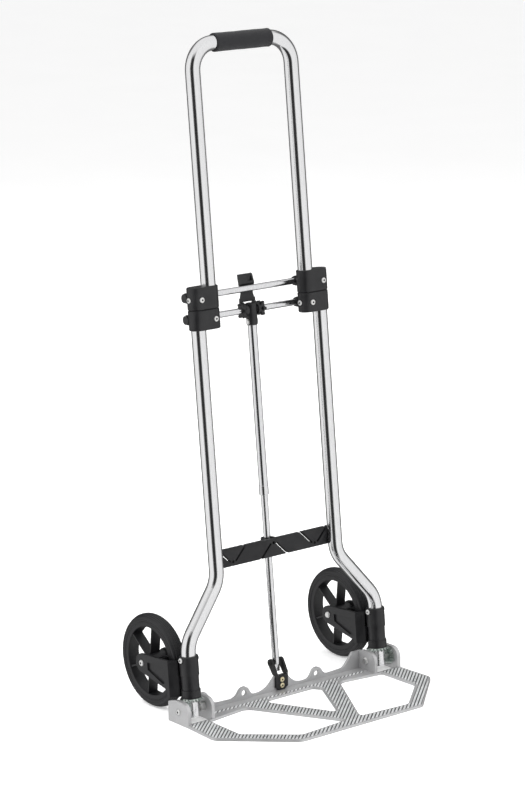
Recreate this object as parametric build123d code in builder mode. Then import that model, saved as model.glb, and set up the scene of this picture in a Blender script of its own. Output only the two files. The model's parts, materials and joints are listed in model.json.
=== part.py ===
from build123d import *
from math import atan2, cos, pi, radians, sin, tan
import os

# Folding luggage cart. Millimetres, +Z up, the toe plate towards -Y.
# The origin is on the floor at the middle of the cart's plan. The frame leans back from the
# toe hinge, so most parts are placed in the lean frame: x across, v behind, w up along the frame.

os.makedirs("parts", exist_ok=True)

SIDES = (("left", -1), ("right", 1))

# Toe hinge, which is also where the foot of each frame tube stands
lean_angle = 5.0
hinge_y = 7.25
hinge_z = 21.3

# Running fits and the lengths of cuts
fit = 0.06                  # radial play of a part that turns
snug = 0.02                 # radial play of a part that is clamped
past = 1.0                  # how far a cut runs past the face it opens
drill_out = 20.0            # a cross hole starts this far from the axis of its tube
through = 80.0              # longer than any hole that runs right through

# Tubes
tube_r = 12.5
tube_wall = 1.5
slide_gap = 0.08            # radial play of a tube in the block that slides on it
frame_x = 128.35            # upper run of the frame tubes
handle_x = 102.35           # handle tubes, beside the frame tubes
tube_v = 6.0                # both upper runs stand this far behind the hinge
foot_x = 202.5
foot_bottom = -12.2
plug_t = 5.0
bend_low = 110.0
bend_low_r = 54.0
bend_high = 201.0
bend_high_r = 50.0
frame_top = 688.0
handle_bottom = 624.0
handle_top = 1083.5
handle_bend_r = 44.0
grip_half = 57.5
grip_r = 15.5

# Slide blocks that tie each handle tube to its frame tube
block_r = 15.5
block_x = (frame_x + handle_x) / 2
upper_block = (654.7, 692.0)
lower_block = (621.0, 654.4)
block_rim = 1.2

# Crossbars behind the tubes
bar_r = 5.25
bar_v = 28.0
bar_half = 134.0
bar_cap_t = 3.5
bar_cap_r = 7.4
bar_ring_t = 3.0
bar_ring_r = 7.5
boss_r = 8.5
boss_in = 97.0
frame_bar_w = 673.0
handle_bar_w = 637.0

# Small screws
head_r = 4.7
head_t = 1.8
head_taper = 25.0
shank_r = 2.0
frame_screw_w = 671.5
handle_screw_w = 637.5
rivet_edge = 7.0

# Cross plate that ties the frame tubes together
plate_low = 217.7
plate_high = 248.0
plate_half = 131.0
plate_front = 11.5
plate_back = 20.0
slot_w = 3.6
slot_length = 38.0          # long enough to run out through the plate's edge
slot_group = 88.0
slot_spread = 18.6
slot_rise = 5.4
plate_hole_r = 2.6
plate_hole_drop = 8.0

# Telescopic strut
strut_v = 28.6
strut_tube_r = 7.7
strut_bore_r = 6.3
strut_top = 620.0
ferrule = (322.0, 338.0)
ferrule_r = 8.2
ferrule_rim = 0.35
yoke = (611.0, 648.0)
yoke_r = 9.5
yoke_rim = 1.2
yoke_flat = 9.0             # half width over the flats under the yoke's screws
yoke_screw_w = 617.0
rod_r = 6.0
rod_top = 399.0
rod_bottom = 15.0
rod_rim = 0.8
tongue = 13.0
tongue_t = 4.4
guide_w = 238.0
guide_r = 8.9
guide_t = 2.5

# Star collars beside the latch lever
star_r = 13.0
star_t = 6.5
star_points = 6
star_notch_r = 4.4
star_gap = 0.3

# Latch lever, hinged on the lower crossbar
lever_ear = (10.0, 16.0)
lever_hub_r = 9.0
lever_front = 36.0
lever_back = 39.5
lever_neck = 12.0
lever_lip_v = bar_v + bar_r + 0.5       # the pad's lip stops just behind the upper crossbar
lever_pad_low = 678.0
lever_pad_half = 14.8
lever_pad_side = (
    (lever_lip_v, 680.5), (38.5, 695.5), (41.5, 696.5), (42.0, 694.0),
    (lever_back, lever_pad_low - past), (lever_front, lever_pad_low - past),
)
thumb = (10.0, 9.0)
thumb_round = 2.0
thumb_centre = (6.5, 688.5)
thumb_back = 38.6
lever_web = 6.0             # width of the ears where they leave the hub
lever_foot = 650.0
lever_shoulder = 664.0

# Wheels
wheel_r = 80.0
tyre_half = 12.0
tyre_shoulder = 74.0
tyre_in = 66.5
tyre_lip = 2.5
rim_in = 58.5
rim_half = 11.0
hub_r = 13.0
hub_half = 20.0
bush_half = 21.2
bush_r = 6.5
spokes = 6
spoke_t = 3.0
spoke_half = 9.5
first_spoke = 97.0
axle_r = 4.0
axle_v = 98.0
axle_head = (5.5, 2.6)
axle_nut_size = (3.2, 5.8)
bolt_end = 3.5              # how far a bolt stands out past its own length of grip

# Wheel brackets, which swivel on the feet of the frame tubes
arm_in = 21.5
arm_out = 26.5
arm_r = 16.0
arm_top = 82.0
arm_foot = 32.0
post = (24.0, 31.0)
pocket_depth = 3.0
pocket_corners = ((82, 71), (82, 58), (41, 40.5), (36, 43), (36, 70))
web_outline = (
    (arm_out, post[0]), (14.0, 13.2), (-14.0, 13.2), (-arm_out, post[0]),
    (-arm_out + 2, post[0] + 5), (-arm_in, post[0] + 3), (-12.5, 16.8), (12.5, 16.8),
    (arm_in, post[0] + 3), (arm_out - 2, post[0] + 5),
)
outer_low = 20.6
inner_low = 27.5
sleeve = (19.8, 33.0, 57.0)
sleeve_foot_r = 16.2
sleeve_r = 14.8
collar = (57.3, 90.0)
collar_r = 16.0
collar_rim = 1.0
collar_boss_r = 5.6
collar_boss_out = 0.8
collar_screw_w = 84.4
collar_room = 19.1          # the bracket swivels clear of the collar's screws

# Bevel gears between the toe plate and the wheel brackets
module = 2.0
toe_teeth = 18
ring_teeth = 19
gear_face = 6.0
addendum = 0.8 * module
dedendum = 1.1 * module
pressure_angle = 20.0
tooth_half = 0.8 * pi * module / 4      # a fifth is taken off each tooth as backlash
tooth_sunk = 0.3                        # how far a tooth's foot reaches into its wheel
tooth_inset = 0.3                       # how far a tooth stops short of each end of its wheel
toe_tooth_steps = range(-6, 2)          # the toe's gears keep only the teeth that mesh
hinge_head = (5.2, 2.4)
hinge_nut = (3.5, 6.0)
hinge_bush = (9.0, 7.5)

# Toe plate: r is measured rearward from the hinge, h upward from it
base_t = 4.5
toe_rear = 24.0
flange_front = 19.0
inner_ear = (174.0, 180.0)
outer_ear = (224.0, 231.0)
ear_rear = 28.0
notch_front = -21.0
toe_corner = (235.5, -100.0)
toe_nose = (130.0, -198.0)
strap_hole = (79.0, 14.8)
strap_hole_r = 5.2
outline = [
    (inner_ear[1], toe_rear), (inner_ear[1], notch_front), (outer_ear[0], notch_front),
    (outer_ear[0], ear_rear), (outer_ear[1], ear_rear), (outer_ear[1], -25), toe_corner, toe_nose,
]
outline_r = [0, 3, 3, 0, 0, 0, 16, 18]
side_window = [(101, -15), (189, -26.5), (190.5, -111), (114, -179.5), (14.5, -171.5)]
side_window_r = (20, 5, 8, 16, 6)
middle_window_half = [(48, -7), (58, -21), (4, -126)]
middle_window_r = (9, 7, 3, 3, 7, 9)
inner_ear_outline = [
    (toe_rear, -hinge_z), (toe_rear, 13.7), (8, 17.5), (-24, 17.5), (-24, -hinge_z),
]
inner_ear_round = [((-24, 17.5), 15)]
outer_ear_outline = [
    (ear_rear, -hinge_z), (ear_rear, 12.5), (8, 18.4), (-26, 18.4), (-26, -hinge_z),
]
outer_ear_round = [((-26, 18.4), 17), ((8, 18.4), 6)]

# Clevis that holds the foot of the strut. Its pin swings evenly about the level of the hinge
# while the toe plate folds, so the strut stays parallel to the frame.
fold = 95.0
clevis_half = 13.0
cheek_in = 9.2
clevis_front = 15.0
clevis_top = 9.4
clevis_cut = (7.0, 5.0)
clevis_screw_zs = (hinge_z + 1.5, hinge_z - 9)
clevis_screw_end = 23.0
cheek_foot = -2.0
cheek_eye_r = 7.0
pin_w = strut_v * tan(radians(fold / 2))
pin_shank_r = 3.0
pin_head = (4.8, 2.0)
crest = [
    (12, hinge_z + clevis_top - 0.4), (33, 8), (62, 8), (72, 25.7), (86, 25.7),
    (98, 9), (140, 10.5), (160, 35), (inner_ear[1], 35),
]
crest_r = [3, 38, 14, 11, 11, 18, 16, 5, 0]

s_lean = sin(radians(lean_angle))
c_lean = cos(radians(lean_angle))
lean = Plane(origin=(0, hinge_y, hinge_z), x_dir=(1, 0, 0), z_dir=(0, s_lean, c_lean))
up = Axis(lean.origin, lean.z_dir)
axle_w = (wheel_r - hinge_z + axle_v * s_lean) / c_lean
axle_y = hinge_y + axle_v * c_lean + axle_w * s_lean


def spot(x, v, w):
    """A point given in the lean frame."""
    return lean.from_local_coords(Vector(x, v, w))


def across(w, x=0.0, v=0.0):
    """Plane square to the frame; sketches on it use (x, v) and extrude upwards."""
    return Plane(origin=spot(x, v, w), x_dir=lean.x_dir, z_dir=lean.z_dir)


def facing(v, x=0.0, w=0.0):
    """Plane that looks forward; sketches on it use (x, w) and extrude to the front."""
    return Plane(origin=spot(x, v, w), x_dir=lean.x_dir, z_dir=-lean.y_dir)


def backing(v, x=0.0, w=0.0):
    """Plane that looks to the rear."""
    return Plane(origin=spot(x, v, w), x_dir=-lean.x_dir, z_dir=lean.y_dir)


def sideways(x, v=0.0, w=0.0):
    """Plane square to x; sketches on it use (v, w) and extrude towards +x."""
    return Plane(origin=spot(x, v, w), x_dir=lean.y_dir, z_dir=lean.x_dir)


def outward(s, x, v, w):
    """Plane square to x that looks to the side that s names."""
    return Plane(origin=spot(x, v, w), x_dir=lean.z_dir, z_dir=s * lean.x_dir)


def toe_side(x):
    """Plane square to x, level with the toe plate; sketches on it use (r, h)."""
    return Plane(origin=(x, hinge_y, hinge_z), x_dir=(0, 1, 0), z_dir=(1, 0, 0))


def save(shape, name):
    shape.label = name
    export_step(shape, f"parts/{name}.step")


def group(builders):
    """Several separate solids kept in one node."""
    return Compound(children=[solid for b in builders for solid in b.part.solids()])


def round_bar(plane, length, radius, bore=0.0):
    """A round bar, or a ring, that stands on the plane."""
    with BuildPart() as bar:
        with BuildSketch(plane):
            Circle(radius)
            if bore:
                Circle(bore, mode=Mode.SUBTRACT)
        extrude(amount=length)
    return bar


def screw(plane, grip, head=(head_r, head_t), shank=shank_r):
    """A screw whose tapered head stands on the plane and whose shank runs behind it."""
    with BuildPart() as piece:
        with BuildSketch(plane):
            Circle(head[0])
        extrude(amount=head[1], taper=head_taper)
        with BuildSketch(plane):
            Circle(shank)
        extrude(amount=-grip)
    return piece


def drill(plane, radius, depth):
    """Cut a round hole behind the plane out of the part being built."""
    with BuildSketch(plane) as hole:
        Circle(radius)
    extrude(hole.sketch, amount=-depth, mode=Mode.SUBTRACT)


def tube_along(points, radii):
    """A tube along straight runs joined by tangent arcs."""
    with BuildPart() as tube:
        with BuildLine() as run:
            FilletPolyline(*points, radius=radii)
        with BuildSketch(Plane(origin=run.line @ 0, z_dir=run.line % 0)):
            Circle(tube_r)
            Circle(tube_r - tube_wall, mode=Mode.SUBTRACT)
        sweep()
    return tube


# ---------------------------------------------------------------- frame tubes, plugs, collars
screw_grip = block_r - tube_r + tube_wall
rivet_ws = (plate_low + rivet_edge, plate_high - rivet_edge)
plugs = []
collar_screws = []
for side, s in SIDES:
    lower_tube = tube_along(
        [
            spot(s * frame_x, tube_v, frame_top),
            spot(s * frame_x, tube_v, bend_high),
            spot(s * foot_x, 0, bend_low),
            spot(s * foot_x, 0, foot_bottom),
        ],
        (bend_high_r, bend_low_r),
    )
    with lower_tube:
        drill(sideways(s * foot_x + drill_out), axle_r + fit, 2 * drill_out)
        drill(facing(-drill_out, s * frame_x, frame_screw_w), shank_r, drill_out + tube_v)
        drill(outward(s, s * (frame_x + drill_out), tube_v, frame_screw_w), shank_r, drill_out)
        drill(sideways(s * foot_x + drill_out, 0, collar_screw_w), shank_r, 2 * drill_out)
        for w in rivet_ws:
            drill(backing(plate_back, s * frame_x, w), shank_r, plate_back - tube_v)
    save(lower_tube.part, f"lower_tube_{side}")

    plugs.append(round_bar(across(foot_bottom, s * foot_x), plug_t, tube_r - tube_wall))

    with BuildPart() as fixed_collar:
        with BuildSketch(across(collar[0], s * foot_x)):
            Circle(collar_r)
        extrude(amount=collar[1] - collar[0])
        chamfer(fixed_collar.edges().group_by(up)[-1], collar_rim)
        for out in (-1, 1):
            with BuildSketch(outward(out, s * foot_x, 0, collar_screw_w)):
                Circle(collar_boss_r)
            extrude(amount=collar_r + collar_boss_out)
            drill(outward(out, s * foot_x + out * drill_out, 0, collar_screw_w), shank_r, drill_out)
            collar_screws.append(screw(
                outward(out, s * foot_x + out * (collar_r + collar_boss_out), 0, collar_screw_w),
                collar_r + collar_boss_out - tube_r + tube_wall,
            ))
        drill(across(collar[1] + past, s * foot_x), tube_r, collar[1] - collar[0] + 2 * past)
    save(fixed_collar.part, f"collar_{side}")
save(group(plugs), "foot_plugs")
save(group(collar_screws), "collar_screws")


# ---------------------------------------------------------------- slide blocks and crossbars
def slide_block(s, low, high, bar_w, sliding_x):
    """A block with a running bore for one tube and a boss for a crossbar."""
    with BuildPart() as block:
        with BuildSketch(across(low, s * block_x, tube_v)):
            SlotCenterToCenter(frame_x - handle_x, 2 * block_r)
        extrude(amount=high - low)
        rims = block.edges().group_by(up)
        chamfer(rims[0] + rims[-1], block_rim)
        with BuildSketch(sideways(min(s * boss_in, s * bar_half))):
            with Locations((bar_v, bar_w)):
                Circle(boss_r)
            with Locations((bar_v - boss_r, bar_w)):
                Rectangle(2 * boss_r, 2 * boss_r)
        extrude(amount=bar_half - boss_in)
        drill(sideways(s * block_x + through / 2, bar_v, bar_w), bar_r, through)
        drill(across(high + past, s * sliding_x, tube_v), tube_r + slide_gap, high - low + 2 * past)
    return block


def crossbar(prefix, bar_w):
    """A crossbar with its end caps and the flanges inside the two bosses."""
    bar = round_bar(sideways(-bar_half, bar_v, bar_w), 2 * bar_half, bar_r)
    save(bar.part, f"{prefix}_crossbar")
    caps = [
        round_bar(outward(s, s * bar_half, bar_v, bar_w), bar_cap_t, bar_cap_r)
        for _, s in SIDES
    ]
    save(group(caps), f"{prefix}_crossbar_caps")
    rings = [
        round_bar(outward(s, s * (boss_in - bar_ring_t), bar_v, bar_w), bar_ring_t, bar_ring_r, bar_r)
        for _, s in SIDES
    ]
    save(group(rings), f"{prefix}_crossbar_rings")


frame_screws = []
for side, s in SIDES:
    low, high = upper_block
    block = slide_block(s, low, high, frame_bar_w, handle_x)
    with block:
        drill(across(frame_top, s * frame_x, tube_v), tube_r, frame_top - low + past)
        drill(facing(-drill_out, s * frame_x, frame_screw_w), shank_r, drill_out)
        drill(outward(s, s * (frame_x + drill_out), tube_v, frame_screw_w), shank_r, drill_out)
    save(block.part, f"upper_block_{side}")
    frame_screws += [
        screw(facing(tube_v - block_r, s * frame_x, frame_screw_w), screw_grip),
        screw(outward(s, s * (frame_x + block_r), tube_v, frame_screw_w), screw_grip),
    ]
save(group(frame_screws), "frame_screws")
crossbar("frame", frame_bar_w)

# ---------------------------------------------------------------- cross plate and strut guide
with BuildPart() as cross_plate:
    with BuildSketch(facing(plate_back)):
        with Locations((0, (plate_low + plate_high) / 2)):
            Rectangle(2 * plate_half, plate_high - plate_low)
        for centre, tip in ((-slot_group, -1), (0, 1), (slot_group, -1)):
            middle = (plate_low + plate_high) / 2
            for s in (-1, 1):
                with Locations((centre + s * slot_spread, middle - slot_rise * tip)):
                    SlotOverall(slot_length, slot_w, rotation=-45 * s * tip, mode=Mode.SUBTRACT)
            with Locations((centre, middle + plate_hole_drop * tip)):
                Circle(plate_hole_r, mode=Mode.SUBTRACT)
    extrude(amount=plate_back - plate_front)
    for _, s in SIDES:
        drill(across(plate_high + past, s * frame_x, tube_v), tube_r, plate_high - plate_low + 2 * past)
        for w in rivet_ws:
            drill(backing(plate_back, s * frame_x, w), shank_r, plate_back - tube_v)
save(cross_plate.part, "cross_plate")

rivets = [
    screw(backing(plate_back, s * frame_x, w), plate_back - tube_v - tube_r + tube_wall)
    for _, s in SIDES for w in rivet_ws
]
save(group(rivets), "plate_rivets")

with BuildPart() as rod_guide:
    with BuildSketch(across(guide_w)):
        for radius, mode in ((guide_r + guide_t, Mode.ADD), (guide_r, Mode.SUBTRACT)):
            with Locations((0, (plate_back + strut_v) / 2)):
                Rectangle(2 * radius, strut_v - plate_back, mode=mode)
            with Locations((0, strut_v)):
                Circle(radius, mode=mode)
        with Locations((0, plate_back / 2)):
            Rectangle(4 * guide_r, plate_back, mode=Mode.SUBTRACT)
    extrude(amount=plate_high - guide_w)
save(rod_guide.part, "rod_guide")

# ---------------------------------------------------------------- handle
handle_tube = tube_along(
    [
        spot(-handle_x, tube_v, handle_bottom),
        spot(-handle_x, tube_v, handle_top),
        spot(handle_x, tube_v, handle_top),
        spot(handle_x, tube_v, handle_bottom),
    ],
    handle_bend_r,
)
handle_screws = []
for side, s in SIDES:
    low, high = lower_block
    with handle_tube:
        drill(facing(-drill_out, s * handle_x, handle_screw_w), shank_r, drill_out + tube_v)
        drill(outward(-s, s * (handle_x - drill_out), tube_v, handle_screw_w), shank_r, drill_out)
    block = slide_block(s, low, high, handle_bar_w, frame_x)
    with block:
        drill(across(high + past, s * handle_x, tube_v), tube_r, high + past - handle_bottom)
        drill(facing(-drill_out, s * handle_x, handle_screw_w), shank_r, drill_out)
        drill(outward(-s, s * (handle_x - drill_out), tube_v, handle_screw_w), shank_r, drill_out)
    save(block.part, f"lower_block_{side}")
    handle_screws += [
        screw(facing(tube_v - block_r, s * handle_x, handle_screw_w), screw_grip),
        screw(outward(-s, s * (handle_x - block_r), tube_v, handle_screw_w), screw_grip),
    ]
save(handle_tube.part, "handle_tube")
save(group(handle_screws), "handle_screws")
crossbar("handle", handle_bar_w)

foam_grip = round_bar(sideways(-grip_half, tube_v, handle_top), 2 * grip_half, grip_r, tube_r)
save(foam_grip.part, "foam_grip")

# ---------------------------------------------------------------- telescopic strut
strut_length = strut_top - ferrule[0]
strut_tube = round_bar(across(ferrule[0], 0, strut_v), strut_length, strut_tube_r, strut_bore_r)
save(strut_tube.part, "strut_tube")

with BuildPart() as strut_ferrule:
    with BuildSketch(across(ferrule[0], 0, strut_v)):
        Circle(ferrule_r)
        Circle(strut_tube_r, mode=Mode.SUBTRACT)
    extrude(amount=ferrule[1] - ferrule[0])
    rims = strut_ferrule.edges().filter_by(GeomType.CIRCLE).sort_by(SortBy.RADIUS)[-2:]
    chamfer(rims, ferrule_rim)
save(strut_ferrule.part, "strut_ferrule")

with BuildPart() as strut_yoke:
    with BuildSketch(across(yoke[0], 0, strut_v)):
        Circle(yoke_r)
    extrude(amount=yoke[1] - yoke[0])
    rims = strut_yoke.edges().group_by(up)
    chamfer(rims[0] + rims[-1], yoke_rim)
    drill(across(strut_top, 0, strut_v), strut_tube_r, strut_top - yoke[0] + past)
    drill(across(handle_bar_w, 0, strut_v), strut_bore_r, handle_bar_w - strut_top)
    drill(sideways(drill_out, bar_v, handle_bar_w), bar_r, 2 * drill_out)
    for _, s in SIDES:
        outside = outward(s, s * (yoke_r + past), strut_v, yoke_screw_w)
        drill(outside, shank_r, yoke_r + past - strut_bore_r)
        drill(outside, head_r + fit, yoke_r + past - yoke_flat)
save(strut_yoke.part, "strut_yoke")

yoke_screws = [
    screw(outward(s, s * yoke_flat, strut_v, yoke_screw_w), yoke_flat - strut_tube_r)
    for _, s in SIDES
]
save(group(yoke_screws), "yoke_screws")

star_collars = []
for _, s in SIDES:
    with BuildPart() as star:
        with BuildSketch(outward(s, s * (lever_ear[1] + star_gap), bar_v, handle_bar_w)):
            Circle(star_r)
            with PolarLocations(star_r, star_points):
                Circle(star_notch_r, mode=Mode.SUBTRACT)
            Circle(bar_r, mode=Mode.SUBTRACT)
        extrude(amount=star_t)
    star_collars.append(star)
save(group(star_collars), "star_collars")

with BuildPart() as strut_rod:
    with BuildSketch(across(rod_bottom, 0, strut_v)):
        Circle(rod_r)
    extrude(amount=rod_top - rod_bottom)
    with BuildSketch(across(rod_bottom, 0, strut_v)):
        Rectangle(2 * rod_r + past, 2 * rod_r + past)
        Rectangle(2 * rod_r + past, tongue_t, mode=Mode.SUBTRACT)
    extrude(amount=tongue, mode=Mode.SUBTRACT)
    chamfer(strut_rod.faces().sort_by(up)[-1].edges(), rod_rim)
save(strut_rod.part, "strut_rod")

# ---------------------------------------------------------------- latch lever
with BuildPart() as latch_lever:
    for _, s in SIDES:
        with BuildSketch(sideways(min(s * lever_ear[0], s * lever_ear[1]))):
            with Locations((bar_v, handle_bar_w)):
                Circle(lever_hub_r)
            with BuildLine():
                Polyline(
                    (bar_v, handle_bar_w + lever_hub_r),
                    (lever_front, lever_foot),
                    (lever_front, lever_foot + lever_web),
                    (lever_back, lever_foot + lever_web),
                    (lever_back, handle_bar_w + lever_web),
                    (bar_v + lever_web, handle_bar_w - lever_web),
                    close=True,
                )
            make_face()
        extrude(amount=lever_ear[1] - lever_ear[0])
    with BuildSketch(facing(lever_back)):
        with BuildLine():
            Polyline(
                (-lever_ear[1], lever_foot),
                (lever_ear[1], lever_foot),
                (lever_neck, lever_shoulder),
                (lever_neck, lever_pad_low),
                (-lever_neck, lever_pad_low),
                (-lever_neck, lever_shoulder),
                close=True,
            )
        make_face()
    extrude(amount=lever_back - lever_front)
    with BuildSketch(sideways(-lever_pad_half)):
        with BuildLine():
            Polyline(*lever_pad_side, close=True)
        make_face()
    extrude(amount=2 * lever_pad_half)
    with BuildSketch(facing(thumb_back)) as hollow:
        with Locations(thumb_centre):
            RectangleRounded(*thumb, thumb_round)
    extrude(hollow.sketch, amount=thumb_back - lever_lip_v + past, mode=Mode.SUBTRACT)
    drill(sideways(drill_out, bar_v, handle_bar_w), bar_r + fit, 2 * drill_out)
save(latch_lever.part, "latch_lever")


# ---------------------------------------------------------------- toe plate
def toe_face(points, radius_of):
    """A face on the floor from (x, r) points; radius_of gives each corner's rounding."""
    with BuildSketch(Plane.XY) as face:
        with BuildLine():
            Polyline(*[(x, hinge_y + r) for x, r in points], close=True)
        make_face()
        for (x, r), radius in zip(points, radius_of):
            if radius:
                corner = face.vertices().sort_by_distance((x, hinge_y + r, 0))[0]
                fillet(corner, radius)
    return face.sketch


def mirrored(points):
    """The points and their mirror images about x = 0, in order round the outline."""
    return list(points) + [(-x, y) for x, y in reversed(points)]


def ear(x_span, s, points, rounding):
    """Add a hinge ear to the toe plate and drill it for the hinge bolt."""
    x0 = min(s * x_span[0], s * x_span[1])
    with BuildSketch(toe_side(x0)) as profile:
        with BuildLine():
            Polyline(*points, close=True)
        make_face()
        for (r, h), radius in rounding:
            fillet(profile.vertices().sort_by_distance((r, h, 0))[0], radius)
    extrude(profile.sketch, amount=x_span[1] - x_span[0])


with BuildPart() as toe_plate:
    add(toe_face(mirrored(outline), outline_r + outline_r[::-1]))
    extrude(amount=base_t)
    for _, s in SIDES:
        add(toe_face([(s * x, r) for x, r in side_window], side_window_r))
        extrude(amount=base_t, mode=Mode.SUBTRACT)
    add(toe_face(mirrored(middle_window_half), middle_window_r))
    extrude(amount=base_t, mode=Mode.SUBTRACT)

    flange_back = Plane(origin=(0, hinge_y + toe_rear, 0), x_dir=(1, 0, 0), z_dir=(0, -1, 0))
    with BuildSketch(flange_back) as flange:
        with BuildLine():
            Polyline(*mirrored([(inner_ear[1], 0)] + crest[::-1]), close=True)
        make_face()
        for (x, z), radius in zip(crest, crest_r):
            for s in (-1, 1):
                if radius:
                    fillet(flange.vertices().sort_by_distance((s * x, z, 0))[0], radius)
        with Locations((strap_hole[0], strap_hole[1]), (-strap_hole[0], strap_hole[1])):
            Circle(strap_hole_r, mode=Mode.SUBTRACT)
    extrude(amount=toe_rear - flange_front)

    for _, s in SIDES:
        ear(inner_ear, s, inner_ear_outline, inner_ear_round)
        ear(outer_ear, s, outer_ear_outline, outer_ear_round)
        drill(sideways(s * foot_x + through / 2), axle_r + snug, through)
    for z in clevis_screw_zs:
        with BuildSketch(Plane(origin=(0, hinge_y, z), x_dir=(1, 0, 0), z_dir=(0, 1, 0))):
            Circle(shank_r)
        extrude(amount=clevis_screw_end, mode=Mode.SUBTRACT)
save(toe_plate.part, "toe_plate")

# ---------------------------------------------------------------- strut clevis on the toe plate
pin_r = strut_v * c_lean + pin_w * s_lean
pin_h = pin_w * c_lean - strut_v * s_lean
with BuildPart() as strut_clevis:
    clevis_plane = Plane(
        origin=(0, hinge_y + flange_front, hinge_z), x_dir=(1, 0, 0), z_dir=(0, -1, 0)
    )
    with BuildSketch(clevis_plane) as buckle:
        with BuildLine():
            Polyline(
                (-clevis_half, clevis_top),
                (-clevis_half, base_t - hinge_z + clevis_cut[1]),
                (-clevis_half + clevis_cut[0], base_t - hinge_z),
                (clevis_half - clevis_cut[0], base_t - hinge_z),
                (clevis_half, base_t - hinge_z + clevis_cut[1]),
                (clevis_half, clevis_top),
                close=True,
            )
        make_face()
    extrude(amount=flange_front - clevis_front)
    for _, s in SIDES:
        with BuildSketch(toe_side(min(s * cheek_in, s * clevis_half))):
            with BuildLine():
                Polyline(
                    (clevis_front, cheek_foot), (clevis_front, 14), (pin_r - 5.5, pin_h + 4.4),
                    (pin_r + 3.8, pin_h - 6), (toe_rear + past, clevis_top),
                    (flange_front, clevis_top), (flange_front, cheek_foot), close=True,
                )
            make_face()
            with Locations((pin_r, pin_h)):
                Circle(cheek_eye_r)
                Circle(pin_shank_r + snug, mode=Mode.SUBTRACT)
        extrude(amount=clevis_half - cheek_in)
    for z in clevis_screw_zs:
        with BuildSketch(Plane(origin=(0, hinge_y, z), x_dir=(1, 0, 0), z_dir=(0, 1, 0))):
            Circle(shank_r)
        extrude(amount=flange_front, mode=Mode.SUBTRACT)
save(strut_clevis.part, "strut_clevis")

clevis_screws = [
    screw(
        Plane(origin=(0, hinge_y + clevis_front, z), x_dir=(1, 0, 0), z_dir=(0, -1, 0)),
        clevis_screw_end - clevis_front,
    )
    for z in clevis_screw_zs
]
save(group(clevis_screws), "clevis_screws")

clevis_pins = [
    screw(outward(s, s * clevis_half, strut_v, pin_w), clevis_half - cheek_in, pin_head, pin_shank_r)
    for _, s in SIDES
]
save(group(clevis_pins), "clevis_pins")


# ---------------------------------------------------------------- hinge bolts and bevel gears
def bevel_gear(plane, teeth, mate, angles, bore, back):
    """A bevel gear whose apex is the plane's origin; it stands out along the plane's normal."""
    cone = atan2(teeth, mate)
    reach = module * teeth / 2 / sin(cone)
    ends = (reach - gear_face, reach)

    def root(d):
        drop = dedendum * d / reach
        return d * sin(cone) - drop * cos(cone), d * cos(cone) + drop * sin(cone)

    with BuildPart() as gear:
        with BuildSketch(Plane(origin=plane.origin, x_dir=plane.x_dir, z_dir=-plane.y_dir)):
            with BuildLine():
                Polyline(
                    (bore, root(ends[0])[1]), root(ends[0]), root(ends[1]),
                    (root(ends[1])[0], back), (bore, back), close=True,
                )
            make_face()
        revolve(axis=Axis(plane.origin, plane.z_dir))
        for angle in angles:
            turn = radians(angle)
            ray = Vector(sin(cone) * cos(turn), sin(cone) * sin(turn), cos(cone))
            along = plane.from_local_coords(ray) - plane.origin
            tangent = plane.from_local_coords(Vector(-sin(turn), cos(turn), 0)) - plane.origin
            for d in (ends[0] + tooth_inset, ends[1] - tooth_inset):
                k = d / reach
                tip = k * (tooth_half - addendum * tan(radians(pressure_angle)))
                foot = k * (tooth_half + dedendum * tan(radians(pressure_angle)))
                with BuildSketch(Plane(plane.origin + along * d, x_dir=tangent, z_dir=along)):
                    with BuildLine():
                        Polyline(
                            (-tip, -addendum * k), (tip, -addendum * k),
                            (foot, dedendum * k + tooth_sunk), (-foot, dedendum * k + tooth_sunk),
                            close=True,
                        )
                    make_face()
            loft()
    return gear


bolts = []
nuts = []
bushes = []
for side, s in SIDES:
    toe_apex = Plane(origin=spot(s * foot_x, 0, 0), x_dir=lean.z_dir, z_dir=s * lean.x_dir)
    toe_pitch = 360 / toe_teeth
    toe_angles = [-s * toe_pitch * i for i in toe_tooth_steps]
    toe_gear = bevel_gear(
        toe_apex, toe_teeth, ring_teeth, toe_angles, axle_r + snug, outer_ear[0] - foot_x
    )
    save(toe_gear.part, f"toe_gear_{side}")

    ring_apex = Plane(origin=spot(s * foot_x, 0, 0), x_dir=s * lean.x_dir, z_dir=lean.z_dir)
    ring_pitch = 360 / ring_teeth
    ring_angles = [ring_pitch * (i + 0.5) for i in range(ring_teeth)]
    ring_gear = bevel_gear(
        ring_apex, ring_teeth, toe_teeth, ring_angles, tube_r + slide_gap, sleeve[0]
    )
    save(ring_gear.part, f"bracket_gear_{side}")

    bolts.append(screw(
        outward(s, s * outer_ear[1], 0, 0), outer_ear[1] - inner_ear[0] + bolt_end, hinge_head, axle_r
    ))
    nuts.append(round_bar(outward(-s, s * inner_ear[0], 0, 0), *hinge_nut, axle_r))
    bushes.append(round_bar(outward(s, s * inner_ear[1], 0, 0), *hinge_bush, axle_r + snug))
save(group(bolts), "hinge_bolts")
save(group(nuts), "hinge_nuts")
save(group(bushes), "hinge_bushes")

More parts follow.
